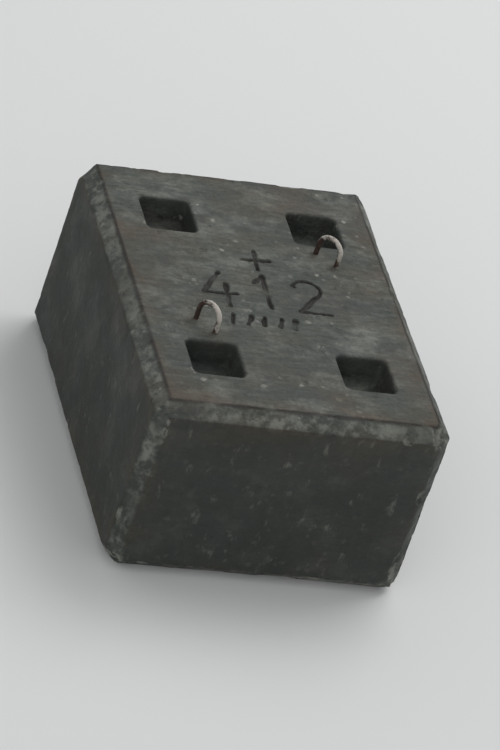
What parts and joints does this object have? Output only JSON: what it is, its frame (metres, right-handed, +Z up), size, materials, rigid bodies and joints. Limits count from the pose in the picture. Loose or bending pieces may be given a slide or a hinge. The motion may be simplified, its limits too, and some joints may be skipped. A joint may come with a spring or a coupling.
{
  "type": "concrete breakwater block",
  "caption": "Rectangular precast concrete armour block with bevelled edges, square pockets in its upper face and cast-in steel lifting loops.",
  "frame": {"origin": "middle of the underside, on the ground", "axes": "+X along the block's length, +Y across its width, +Z up out of the face with the pockets and loops"},
  "size_m": [3, 2.25, 1.7138],
  "materials": {
    "concrete": "weathered, damp",
    "loop_steel": "rusted bar, rubbed pale on top"
  },
  "bodies": {
    "root": {"concrete_block": "concrete", "lifting_loop_1": "loop_steel", "lifting_loop_2": "loop_steel"}
  },
  "joints": []
}
